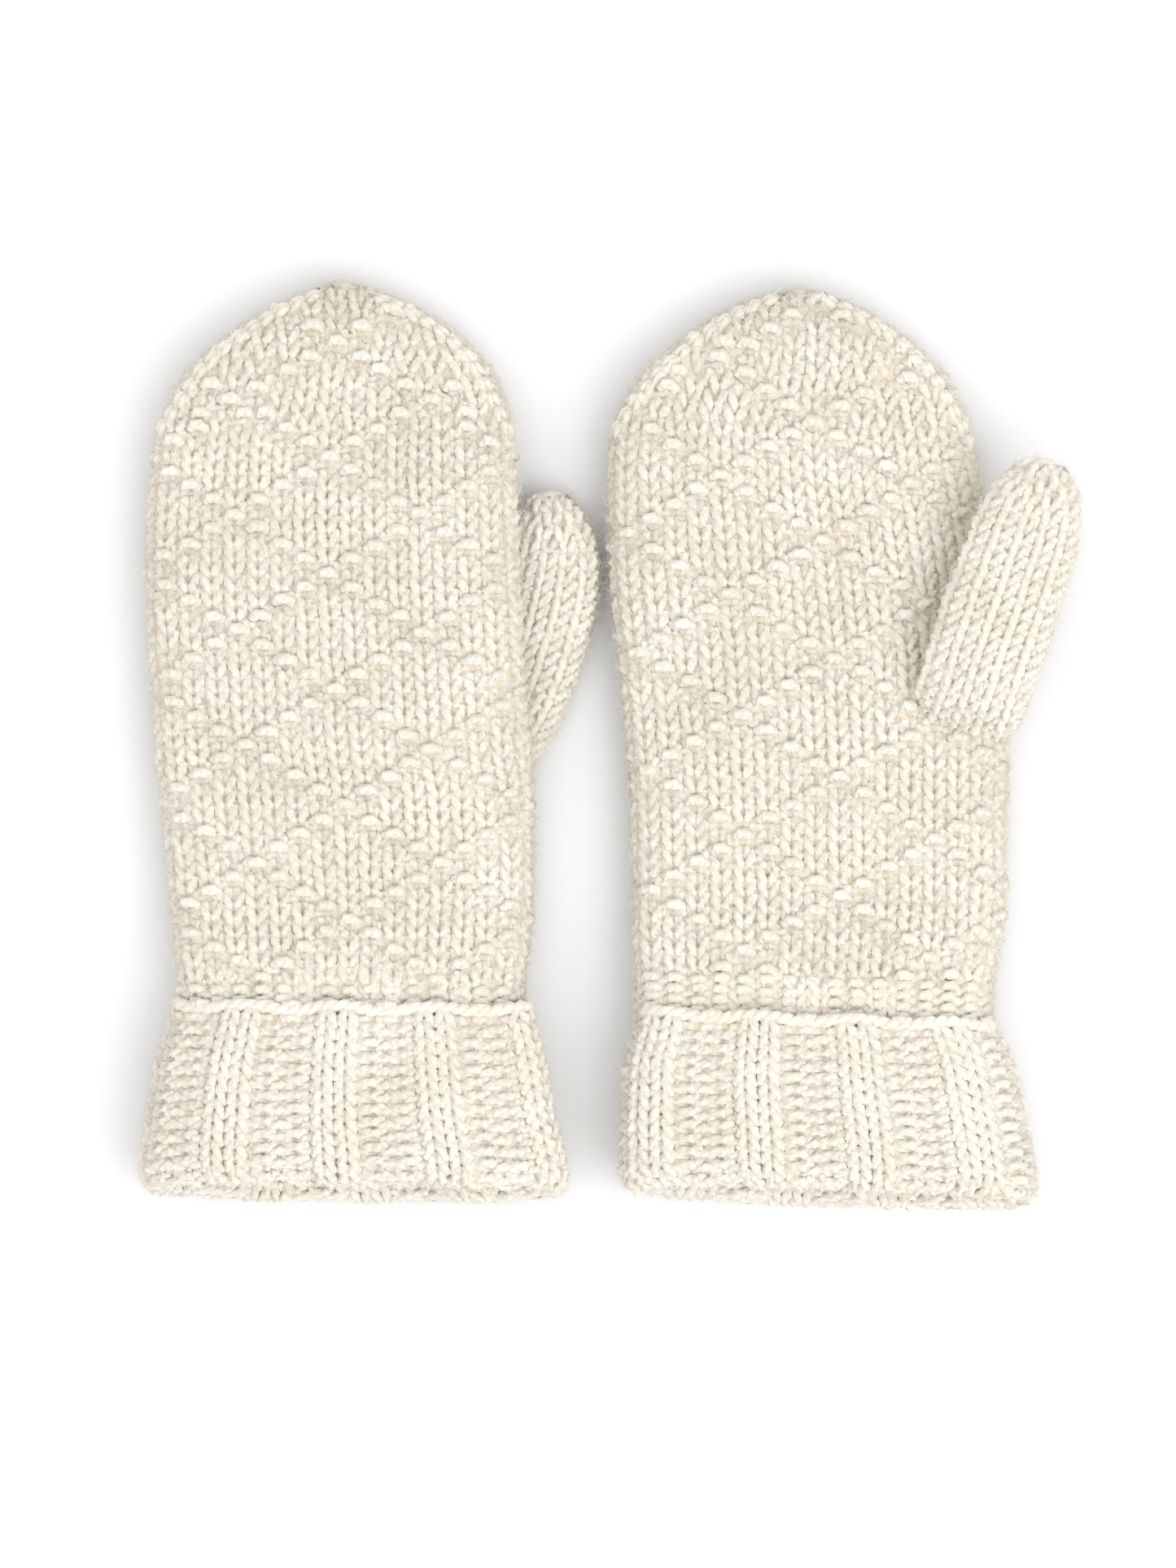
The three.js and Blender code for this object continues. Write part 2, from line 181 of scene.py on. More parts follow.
class Bag:
    """Collects tubes and sheets into one mesh."""

    def __init__(self):
        self.v, self.f, self.uv, self.count = [], [], [], 0

    def tube(self, c, n, r, sides=SIDES, closed=True, u0=0.0, ply=True):
        m = len(c)
        r = np.broadcast_to(np.asarray(r, float), (m,))
        length = np.linalg.norm(np.diff(np.vstack([c, c[:1]]), axis=0), axis=1)
        run = np.concatenate([[0], np.cumsum(length)])
        if closed:
            t = np.roll(c, -1, 0) - np.roll(c, 1, 0)
        else:
            t = np.gradient(c, axis=0)
        t = t / np.maximum(np.linalg.norm(t, axis=1, keepdims=True), 1e-9)
        up = n - (n * t).sum(1, keepdims=True) * t
        ln = np.linalg.norm(up, axis=1, keepdims=True)
        bad = ln[:, 0] < 0.15
        if bad.any():
            alt = np.cross(t, np.array([0.31, 0.77, 0.55]))
            up[bad] = alt[bad]
            ln = np.linalg.norm(up, axis=1, keepdims=True)
        up = up / np.maximum(ln, 1e-9)
        side = np.cross(t, up)
        a = np.arange(sides) / sides * 2 * math.pi
        turns = max(1, round(run[-1] / PLY_TURN)) if ply else 0
        lobes = 1 + (PLY_DEPTH * np.cos(PLIES * a) if ply else 0 * a)
        rough = 1 + (ROUGH.normal(0, 0.022, (m, sides)) if ply else 0)
        ang = a[None] + (run[:-1] / run[-1] * turns * 2 * math.pi)[:, None]
        rr = r[:, None] * lobes[None] * rough
        v = c[:, None] + rr[..., None] * (np.cos(ang)[..., None] * side[:, None] + np.sin(ang)[..., None] * up[:, None])
        i = np.arange(m if closed else m - 1)[:, None]
        k = np.arange(sides)[None]
        i2, k2 = (i + 1) % m, (k + 1) % sides
        f = np.stack([i * sides + k, i2 * sides + k, i2 * sides + k2, i * sides + k2], -1).reshape(-1, 4)
        s = u0 + run
        uu = np.stack([np.stack([s[i + 0 * k], k / sides + 0 * s[i]], -1), np.stack([s[i + 1 + 0 * k], k / sides + 0 * s[i]], -1),
                       np.stack([s[i + 1 + 0 * k], (k + 1) / sides + 0 * s[i]], -1), np.stack([s[i + 0 * k], (k + 1) / sides + 0 * s[i]], -1)], 2)
        uu = uu.reshape(-1, 4, 2)
        self.v.append(v.reshape(-1, 3))
        self.f.append(f + self.count)
        self.uv.append(uu)
        if not closed:
            for row, flip in ((0, True), (m - 1, False)):
                ring = row * sides + np.arange(sides)
                if flip:
                    ring = ring[::-1]
                for q in range(1, sides - 2, 2):
                    self.f.append(np.array([[ring[0], ring[q], ring[q + 1], ring[q + 2]]]) + self.count)
                    self.uv.append(np.zeros((1, 4, 2)))
        self.count += m * sides

    def grid(self, outer, inner):
        """A closed thin shell between two grids of the same shape, open at both ends of the tube."""
        k, m = outer.shape[:2]
        a = outer.reshape(-1, 3)
        b = inner.reshape(-1, 3)
        i = np.arange(k - 1)[:, None]
        j = np.arange(m)[None]
        j2 = (j + 1) % m
        f1 = np.stack([i * m + j, i * m + j2, (i + 1) * m + j2, (i + 1) * m + j], -1).reshape(-1, 4)
        f2 = f1[:, ::-1] + k * m
        j = np.arange(m)
        j2 = (j + 1) % m
        e1 = np.stack([j, j + k * m, j2 + k * m, j2], -1)
        base = (k - 1) * m
        e2 = np.stack([base + j, base + j2, base + j2 + k * m, base + j + k * m], -1)
        f = np.vstack([f1, f2, e1, e2])
        v = np.vstack([a, b])
        c0, c1, c2 = v[f[:, 0]], v[f[:, 1]], v[f[:, 2]]
        vol = (c0 * np.cross(c1, c2)).sum()
        if vol < 0:
            f = f[:, ::-1]
        self.v.append(v)
        self.f.append(f + self.count)
        self.uv.append(np.zeros((len(f), 4, 2)))
        self.count += len(v)

    def make(self, name, material):
        v = (np.vstack(self.v) + SHIFT) * MM
        f = np.vstack(self.f).astype(np.int32)
        uv = np.concatenate(self.uv).astype(np.float32)
        me = bpy.data.meshes.new(name)
        me.vertices.add(len(v))
        me.vertices.foreach_set("co", v.astype(np.float32).ravel())
        real = f >= 0
        total = real.sum(1).astype(np.int32)
        me.loops.add(int(total.sum()))
        me.loops.foreach_set("vertex_index", f[real])
        me.polygons.add(len(f))
        me.polygons.foreach_set("loop_start", np.concatenate([[0], np.cumsum(total)[:-1]]).astype(np.int32))
        me.polygons.foreach_set("loop_total", total)
        me.polygons.foreach_set("use_smooth", np.ones(len(f), bool))
        layer = me.uv_layers.new(name="strand")
        layer.data.foreach_set("uv", uv[real].reshape(-1))
        me.update(calc_edges=True)
        me.validate()
        me.materials.append(material)
        ob = bpy.data.objects.new(name, me)
        bpy.context.scene.collection.objects.link(ob)
        return ob


# --------------------------------------------------------------------- materials
def wool(name, colour, deep, sheen=0.25, bump=0.55):
    m = bpy.data.materials.new(name)
    m.use_nodes = True
    nt = m.node_tree
    b = nt.nodes["Principled BSDF"]
    b.inputs["Base Color"].default_value = (*colour, 1)
    b.inputs["Roughness"].default_value = 0.95
    b.inputs["Specular IOR Level"].default_value = 0.18
    b.inputs["Sheen Weight"].default_value = sheen
    b.inputs["Sheen Roughness"].default_value = 0.6
    b.inputs["Sheen Tint"].default_value = (1.0, 0.97, 0.92, 1)
    m.diffuse_color = (*colour, 1)
    uv = nt.nodes.new("ShaderNodeUVMap")
    uv.uv_map = "strand"
    geo = nt.nodes.new("ShaderNodeTexCoord")
    # the plies of the strand: slanting ridges round it
    sep = nt.nodes.new("ShaderNodeSeparateXYZ")
    nt.links.new(uv.outputs["UV"], sep.inputs[0])
    mul = nt.nodes.new("ShaderNodeMath"); mul.operation = "MULTIPLY"; mul.inputs[1].default_value = 0.115
    nt.links.new(sep.outputs["X"], mul.inputs[0])
    add = nt.nodes.new("ShaderNodeMath"); add.operation = "ADD"
    nt.links.new(mul.outputs[0], add.inputs[0]); nt.links.new(sep.outputs["Y"], add.inputs[1])
    ang = nt.nodes.new("ShaderNodeMath"); ang.operation = "MULTIPLY"; ang.inputs[1].default_value = 3 * 2 * math.pi
    nt.links.new(add.outputs[0], ang.inputs[0])
    ply = nt.nodes.new("ShaderNodeMath"); ply.operation = "SINE"
    nt.links.new(ang.outputs[0], ply.inputs[0])
    # fine fibres along the strand
    comb = nt.nodes.new("ShaderNodeCombineXYZ")
    fx = nt.nodes.new("ShaderNodeMath"); fx.operation = "MULTIPLY"; fx.inputs[1].default_value = 0.55
    fy = nt.nodes.new("ShaderNodeMath"); fy.operation = "MULTIPLY"; fy.inputs[1].default_value = 9.0
    nt.links.new(sep.outputs["X"], fx.inputs[0]); nt.links.new(add.outputs[0], fy.inputs[0])
    nt.links.new(fx.outputs[0], comb.inputs[0]); nt.links.new(fy.outputs[0], comb.inputs[1])
    fib = nt.nodes.new("ShaderNodeTexNoise"); fib.inputs["Scale"].default_value = 1.6; fib.inputs["Detail"].default_value = 4
    nt.links.new(comb.outputs[0], fib.inputs["Vector"])
    fuzz = nt.nodes.new("ShaderNodeTexNoise"); fuzz.inputs["Scale"].default_value = 1400; fuzz.inputs["Detail"].default_value = 3
    nt.links.new(geo.outputs["Object"], fuzz.inputs["Vector"])
    h1 = nt.nodes.new("ShaderNodeMath"); h1.operation = "MULTIPLY_ADD"; h1.inputs[1].default_value = 0.45
    nt.links.new(ply.outputs[0], h1.inputs[0])
    h2 = nt.nodes.new("ShaderNodeMath"); h2.operation = "MULTIPLY_ADD"; h2.inputs[1].default_value = 1.1
    nt.links.new(fib.outputs["Fac"], h2.inputs[0]); nt.links.new(fuzz.outputs["Fac"], h2.inputs[2])
    nt.links.new(h2.outputs[0], h1.inputs[2])
    bp = nt.nodes.new("ShaderNodeBump"); bp.inputs["Strength"].default_value = bump; bp.inputs["Distance"].default_value = 0.00035
    nt.links.new(h1.outputs[0], bp.inputs["Height"])
    nt.links.new(bp.outputs[0], b.inputs["Normal"])
    # colour: a little darker and warmer in patches and between the plies
    big = nt.nodes.new("ShaderNodeTexNoise"); big.inputs["Scale"].default_value = 45; big.inputs["Detail"].default_value = 3
    nt.links.new(geo.outputs["Object"], big.inputs["Vector"])
    mixf = nt.nodes.new("ShaderNodeMath"); mixf.operation = "MULTIPLY_ADD"; mixf.inputs[1].default_value = 0.5
    nt.links.new(fib.outputs["Fac"], mixf.inputs[0])
    mixb = nt.nodes.new("ShaderNodeMath"); mixb.operation = "MULTIPLY"; mixb.inputs[1].default_value = 0.6
    nt.links.new(big.outputs["Fac"], mixb.inputs[0]); nt.links.new(mixb.outputs[0], mixf.inputs[2])
    ramp = nt.nodes.new("ShaderNodeValToRGB")
    ramp.color_ramp.elements[0].position = 0.36
    ramp.color_ramp.elements[0].color = (*deep, 1)
    ramp.color_ramp.elements[1].position = 0.66
    ramp.color_ramp.elements[1].color = (*colour, 1)
    nt.links.new(mixf.outputs[0], ramp.inputs["Fac"])
    nt.links.new(ramp.outputs["Color"], b.inputs["Base Color"])
    return m


def rough_matte(name, colour):
    """A rough matte material with a fine noise bump: on the sheet between the strands its darker tan colour is painted
    shade for the crevices; it also colours the loose hairs.
    """
    m = bpy.data.materials.new(name)
    m.use_nodes = True
    nt = m.node_tree
    b = nt.nodes["Principled BSDF"]
    b.inputs["Base Color"].default_value = (*colour, 1)
    b.inputs["Roughness"].default_value = 1.0
    b.inputs["Specular IOR Level"].default_value = 0.05
    m.diffuse_color = (*colour, 1)
    geo = nt.nodes.new("ShaderNodeTexCoord")
    n = nt.nodes.new("ShaderNodeTexNoise"); n.inputs["Scale"].default_value = 900; n.inputs["Detail"].default_value = 4
    nt.links.new(geo.outputs["Object"], n.inputs["Vector"])
    bp = nt.nodes.new("ShaderNodeBump"); bp.inputs["Strength"].default_value = 0.5; bp.inputs["Distance"].default_value = 0.0005
    nt.links.new(n.outputs["Fac"], bp.inputs["Height"]); nt.links.new(bp.outputs[0], b.inputs["Normal"])
    return m


HAND_WOOL = wool("hand_wool", (0.905, 0.865, 0.775), (0.82, 0.765, 0.65))
THUMB_WOOL = wool("thumb_wool", (0.915, 0.875, 0.79), (0.835, 0.785, 0.675))
CUFF_WOOL = wool("cuff_wool", (0.91, 0.87, 0.785), (0.83, 0.78, 0.67))
EDGE_WOOL = wool("edge_wool", (0.91, 0.87, 0.785), (0.84, 0.79, 0.68))
# painted shade: the sheet between the strands gets a darker, warmer tan than the wool, standing in for the shade in the
# crevices
PAINTED_SHADE_SHEET = rough_matte("painted_crevice_shade", (0.80, 0.70, 0.56))
FIBRE = rough_matte("loose_fibres", (0.89, 0.84, 0.75))
FUZZ = 500                 # hairs to a row of the hand


# ----------------------------------------------------------------------- stitches
def periodic(rng, n, u, size):
    """Smooth random wander, one value to a stitch, round a closed row."""
    a = rng.normal(0, size, n)
    k = np.floor(u - 0.5).astype(int)
    f = u - 0.5 - k
    f = f * f * (3 - 2 * f)
    return a[k % n] * (1 - f) + a[(k + 1) % n] * f


def knit_row(surface, v, n, low, high, rng, phase=0.0, warp=None, radius=YARN_R, depth=DEPTH, widen=WIDEN,
             reach=REACH, puff=0.75, relief=None, wander=1.0, steps=STEPS, lean=-0.03, swell=0.13, breadth=None):
    """Centres, normals and radii of one closed row of n stitches at row number v.
    low[k] is +1 for a knit stitch and -1 for a purl one; high[k] is the stitch above it."""
    t1 = -math.pi + 2 * math.pi * np.arange(steps) / steps
    k = np.repeat(np.arange(n), steps)
    t = np.tile(t1, n)
    a = np.abs(t) / math.pi
    w = smooth(0.36, 0.64, a)
    s = high[k] * (1 - w) + low[k] * w
    near = np.where(t > 0, low[(k + 1) % n], low[(k - 1) % n])
    w2 = smooth(0.72, 1.0, a) * 0.5
    s = s * (1 - w2) + near * w2
    u = k + 0.5 + t / (2 * math.pi) + (widen + lean * np.sin(t)) * np.sin(2 * t)
    vv = v + reach * np.cos(t)
    z = -s * depth * np.cos(2 * t)
    bump = (1 - high[k]) / 2 * np.exp(-(t / 0.95) ** 2)
    z = z + puff * bump
    flat = k + 0.5 + t / (2 * math.pi)
    u = u + periodic(rng, n, flat, 0.022 * wander)
    vv = vv + periodic(rng, n, flat, 0.07 * wander)
    z = z + periodic(rng, n, flat, 0.18 * wander)
    slub = rng.normal(0, 1, len(t))
    slub = (slub + np.roll(slub, 1) + np.roll(slub, -1) + np.roll(slub, 2)) / 2
    r = radius * (1 + periodic(rng, n, flat, 0.04 * wander) + 0.02 * slub + swell * bump)
    uu = u + phase
    sfrac = warp(uu) if warp else uu / n
    if breadth is not None:
        # a column keeps its place across the hand while the hand narrows round it
        half = np.floor(sfrac * 2) / 2 + 0.25
        off = sfrac - half
        ratio = np.interp(v, *breadth) / np.interp(vv, *breadth)
        keep = 1 - smooth(0.5, 1.0, np.abs(off) / 0.25)
        off = off * (1 - keep) + np.clip(off * ratio, -0.25, 0.25) * keep
        sfrac = half + off
        edge = np.exp(-((0.25 - np.abs(off)) / 0.03) ** 2)
        z = z * (1 - 0.3 * edge)
    p, nrm = surface.at(vv, sfrac)
    if relief is not None:
        z = z + relief(sfrac, vv)
    return p + nrm * z[:, None], nrm, r


def hand_height(y):
    q = np.clip(1 - ((np.maximum(y, 96) - 96) / 32) ** 2, 0, 1)
    return TIP_H + (HAND_H - TIP_H) * np.sqrt(q)


def wobble(x, y, k):
    """A slow unevenness of soft fabric, about one unit high."""
    return (np.sin(x * 0.071 + y * 0.043 + k) + np.sin(x * -0.052 + y * 0.083 + 2.1 * k)
            + 0.6 * np.sin(x * 0.13 + y * 0.11 + 3.7 * k)) / 2.2


def hand_surface(side):
    q = SIDE[side]
    read = table(OUTLINE[side])
    v0, v1, dv = -q["welt_rows"] - 1.5, q["rows"] + 0.5, 0.25
    vs = np.arange(v0, v1 + 1e-6, dv)
    m = 320
    halves = section(m)
    grid = np.zeros((len(vs), m, 3))
    last = q["tip"] - SKIN + 0.6
    for i, v in enumerate(vs):
        y = q["first"] + (v * q["pitch"] if v >= 0 else v * q["welt_pitch"])
        y = min(y, last)
        c, a = read(min(y + SKIN * smooth(92, 120, y) * 0.8, q["tip"] - 0.2))
        a = max(a - SKIN * (1 - 0.25 * smooth(100, 122, y)), 2.4)
        h = float(hand_height(y))
        zlo, zhi = SKIN + 0.3, h - SKIN
        close = smooth(q["tip"] - 14, q["tip"] - 3, y)
        zlo, zhi = zlo + 1.4 * close, zhi - 0.8 * close
        b, zc = (zhi - zlo) / 2, (zhi + zlo) / 2
        ring = []
        for x, z in halves:
            px = c + a * x
            pz = zc + b * z
            py = y + q["tilt"] * (px - c)
            pz = pz + WRIST_RISE * (1 - smooth(-60, -38, py))
            if q["under"]:
                tt = np.clip(pz / HAND_H, 0, 1)
                along = smooth(-22, 12, py) * (1 - smooth(66, 98, py))
                under = smooth(-58, -45, px) * smooth(-14, 3, py) * (1 - smooth(74, 96, py))
                over = smooth(-104, -34, px) * along
                pz = pz + under * LIFT * (1 - tt) + over * LIFT_TOP * tt
            else:
                dx, dy = px - 99.0, py - 34.0
                pz = pz - 1.2 * np.exp(-(dx / 17) ** 2 - (dy / 34) ** 2) * (z > 0)
            pz = pz + 0.55 * wobble(px, py, q["seed"]) * np.clip(z, 0, 1)
            ring.append(even(px, py, pz, m // 2))
        grid[i] = np.vstack(ring)
    return Surface(grid, v0, dv, True)


def front_count(q, j):
    """Stitches over the front of the hand at row j."""
    left = q["rows"] - 1 - j
    for limit, n in ((0, 4), (1, 6), (2, 8), (3, 10), (5, 12), (8, 14)):
        if left <= limit:
            return n
    return 16


def chart(q, j, n):
    """+1 knit, -1 purl for the 2n stitches of row j; n lie over the front."""
    k = np.arange(2 * n)
    c = np.where(k < n, n // 2 + 7 - k, -1 - (k - n) - (16 - n) // 2)
    if j < 0:
        return -np.ones(2 * n)
    ci, ji = c - q["cross"][0], j - q["cross"][1]
    purl = ((ci - ji) % 8 == 0) | ((ci + ji) % 8 == 0)
    return np.where(purl, -1.0, 1.0)


def above(q, j, n, m):
    """The stitch that stands on each stitch of row j, when the row above has 2m."""
    t = chart(q, j + 1, m)
    k = ((np.arange(2 * n) + 0.5) / (2 * n) * 2 * m).astype(int) % (2 * m)
    return t[k]


# A thin closed sheet along the middle of the fabric, behind the strands: it stops light through the gaps, and its
# darker tan material is painted crevice shade.
def thin_shell(bag, surface, va, vb, stepv=0.5, skip=2, half=0.7, back=-0.1):
    vs = np.arange(va, vb + 1e-6, stepv)
    m = surface.p.shape[1] // skip
    s = np.arange(m) / m
    out, inn = [], []
    for v in vs:
        p, n = surface.at(np.full(m, v), s)
        out.append(p + n * (half - back))
        inn.append(p - n * (half + back))
    bag.grid(np.array(out), np.array(inn))


def fibres(surface, va, vb, count, rng, material, name, length=(3.0, 8.0), lift=2.3, relief=None, flip=False):
    """Loose hairs of the wool that stand off the strands."""
    v = rng.uniform(va, vb, count)
    s = rng.uniform(0, 1, count)
    more = rng.uniform(0, 1, count) < 0.22
    s = np.where(more, np.round(rng.uniform(0, 1, count)) * 0.5 + rng.normal(0, 0.018, count), s)
    p, n = surface.at(v, s)
    out = -1.0 if flip else 1.0
    t = np.cross(n, rng.normal(0, 1, (count, 3)))
    t /= np.maximum(np.linalg.norm(t, axis=1, keepdims=True), 1e-9)
    b = np.cross(n, t)
    ln = rng.uniform(length[0], length[1], count)[:, None]
    rise = (np.abs(rng.normal(0, 1, count)) * 0.75 + 0.15)[:, None]
    curl = rng.normal(0, 0.45, count)[:, None]
    base = p + n * out * (lift + rng.uniform(-1.3, 0.1, count)[:, None])
    if relief is not None:
        base = base + n * relief(s, v)[:, None]
    q = np.array([0.0, 0.36, 0.70, 1.0])
    pts = []
    for w in q:
        along = ln * (w - 0.18 * w * w)
        high = rise * (1.9 * w - 0.9 * w * w) * out
        turn = curl * ln * w * w * 0.6
        pts.append(base + t * along + n * high + b * turn)
    pts = np.stack(pts, 1)
    rad = np.array([0.040, 0.036, 0.027])
    d = np.gradient(pts, axis=1)
    d /= np.maximum(np.linalg.norm(d, axis=2, keepdims=True), 1e-9)
    e1 = np.cross(d, n[:, None])
    e1 /= np.maximum(np.linalg.norm(e1, axis=2, keepdims=True), 1e-6)
    e2 = np.cross(d, e1)
    ang = np.arange(3) * math.pi * 2 / 3
    ring = pts[:, :3, None] + rad[None, :, None, None] * (
        np.cos(ang)[None, None, :, None] * e1[:, :3, None] + np.sin(ang)[None, None, :, None] * e2[:, :3, None])
    verts = np.concatenate([ring.reshape(count, 9, 3), pts[:, 3:4]], 1)
    one = []
    for i in range(2):
        for k in range(3):
            one.append([i * 3 + k, i * 3 + (k + 1) % 3, (i + 1) * 3 + (k + 1) % 3, (i + 1) * 3 + k])
    for k in range(3):
        one.append([6 + k, 6 + (k + 1) % 3, 9, -1])
    one.append([2, 1, 0, -1])
    one = np.array(one)
    keep = verts[:, :, 2].min(1) > 0.1
    verts = verts[keep]
    m = len(verts)
    f = np.where(one[None] < 0, -1, one[None] + 10 * np.arange(m)[:, None, None]).reshape(-1, 4)
    bag = Bag()
    bag.v.append(verts.reshape(-1, 3))
    bag.f.append(f)
    bag.uv.append(np.zeros((len(f), 4, 2)))
    bag.count = m * 10
    return bag.make(name, material)


def chain(bag, path, normal, rng, pitch=4.6, width=2.7, radius=1.22):
    """A column of slanting stitches along a path, as decreases leave it."""
    d = np.concatenate([[0], np.cumsum(np.linalg.norm(np.diff(path, axis=0), axis=1))])
    count = max(2, int(d[-1] / pitch))

    def at(q):
        return np.array([np.interp(q, d, path[:, k]) for k in range(3)]).T, np.array([np.interp(q, d, normal[:, k]) for k in range(3)]).T
    t = np.linspace(-1, 1, 13)
    for i in range(count):
        mid = (i + 0.5) * pitch
        q = np.clip(mid + pitch * 1.05 * (1 - np.abs(t) ** 1.4) - pitch * 0.55, 0, d[-1])
        q2 = np.clip(q + 0.4, 0, d[-1])
        p, n = at(q)
        p2, _ = at(q2)
        p1, _ = at(np.clip(q - 0.4, 0, d[-1]))
        tan = p2 - p1
        tan /= np.maximum(np.linalg.norm(tan, axis=1, keepdims=True), 1e-9)
        n = n / np.linalg.norm(n, axis=1, keepdims=True)
        sd = np.cross(tan, n)
        wide = width * 0.5 * np.sign(t) * np.abs(t) ** 0.6 * (1 - 0.35 * (np.abs(t) > 0.75))
        high = 0.9 * (1 - t ** 2) - 1.9 * np.abs(t) ** 3 - 1.0 * (1 - np.abs(t)) ** 6 + rng.normal(0, 0.08)
        bag.tube(p + sd * wide[:, None] + n * high[:, None], n, radius * (1 - 0.12 * np.abs(t)), closed=False)


def centre_of(side, y):
    q = SIDE[side]
    rows = CUFF[side] if y < q["cuff_top"] else OUTLINE[side]
    c, _ = table(rows)(y)
    return float(c)


def build_hand(side):
    q = SIDE[side]
    rng = np.random.default_rng(q["seed"])
    surf = hand_surface(side)
    vv = surf.v0 + surf.dv * np.arange(len(surf.p))
    breadth = (vv, np.linalg.norm(np.diff(surf.p[:, :161], axis=1), axis=2).sum(1))
    fold_row = (FOLD_Y - q["first"]) / q["pitch"]
    f0, f1 = int(fold_row - 2.6), int(fold_row + 2.6)
    parts = {"welt": (-q["welt_rows"], 3), "hand_lower": (3, 19), "hand_upper": (19, f0), "hand_fold": (f0, f1), "finger": (f1, q["rows"])}
    made = {}
    for part, (ja, jb) in parts.items():
        bag = Bag()
        for j in range(ja, jb):
            n = front_count(q, j) if j >= 0 else 16
            m = front_count(q, j + 1) if 0 <= j < q["rows"] - 1 else n
            low = chart(q, j, n)
            high = above(q, j, n, m) if j < q["rows"] - 1 else low
            vv = j + 0.5 if j >= 0 else j + 0.5
            rows_left = q["rows"] - j
            thin = 1.0 if rows_left > 3 else 0.9
            c, nr, r = knit_row(surf, vv, 2 * n, low, high, rng, phase=q["phase"] * (1 if n == 16 else 0.5),
                                radius=YARN_R * thin * (0.93 if j < 0 else 1.0),
                                reach=REACH if j >= 0 else 0.78, breadth=breadth)
            bag.tube(c, nr, r)
        made[part] = bag.make(f"{side}_{part}_stitches", HAND_WOOL)
        # the sheet behind these strands, coloured with painted crevice shade
        skin = Bag()
        thin_shell(skin, surf, ja, jb)
        made[part + "_felt"] = skin.make(f"{side}_{part}_felt", PAINTED_SHADE_SHEET)
        made[part + "_fuzz"] = fibres(surf, ja, jb + (1.2 if part == "finger" else 0), int((jb - ja) * FUZZ), rng, FIBRE,
                                      f"{side}_{part}_fuzz")
    # the columns of decreases that run up both sides to the tip
    bag = Bag()
    top = q["rows"] - 0.6
    low = q["rows"] - 10.5
    for edge, sign in ((0.0, 1), (0.5, -1)):
        vs = np.linspace(low, top, 60)
        p0, n0 = surf.at(vs, np.full(60, edge))
        for face in (1, -1):
            reach = 4.6 * smooth(low - 1, low + 4, vs) + 0.5
            ring = np.array([np.linalg.norm(np.diff(surf.at(np.full(201, v), np.linspace(0, 1, 201))[0], axis=0), axis=1).sum()
                             for v in vs])
            p, n = surf.at(vs, edge + sign * face * reach / ring)
            chain(bag, p + n * 0.95, n, rng)
    made["chain"] = bag.make(f"{side}_decrease_columns", HAND_WOOL)
    # the gathered last stitches at the finger tip
    bag = Bag()
    p, _ = surf.at(np.full(64, q["rows"] + 0.2), np.arange(64) / 64)
    mid = p.mean(0)
    for scale, dy in ((0.8, 0.5), (0.42, 1.0), (0.1, 0.9)):
        c = mid + (p - mid) * scale * np.array([1.5, 1.0, 0.62]) + np.array([0, dy - 0.3, 0])
        bag.tube(c, c - mid + np.array([0, 1.0, 0]), YARN_R * 0.95)
    made["tip"] = bag.make(f"{side}_finger_tip_stitches", HAND_WOOL)
    return surf, made


def bezier(p, t):
    t = t[:, None]
    return ((1 - t) ** 3 * p[0] + 3 * (1 - t) ** 2 * t * p[1] + 3 * (1 - t) * t * t * p[2] + t ** 3 * p[3])


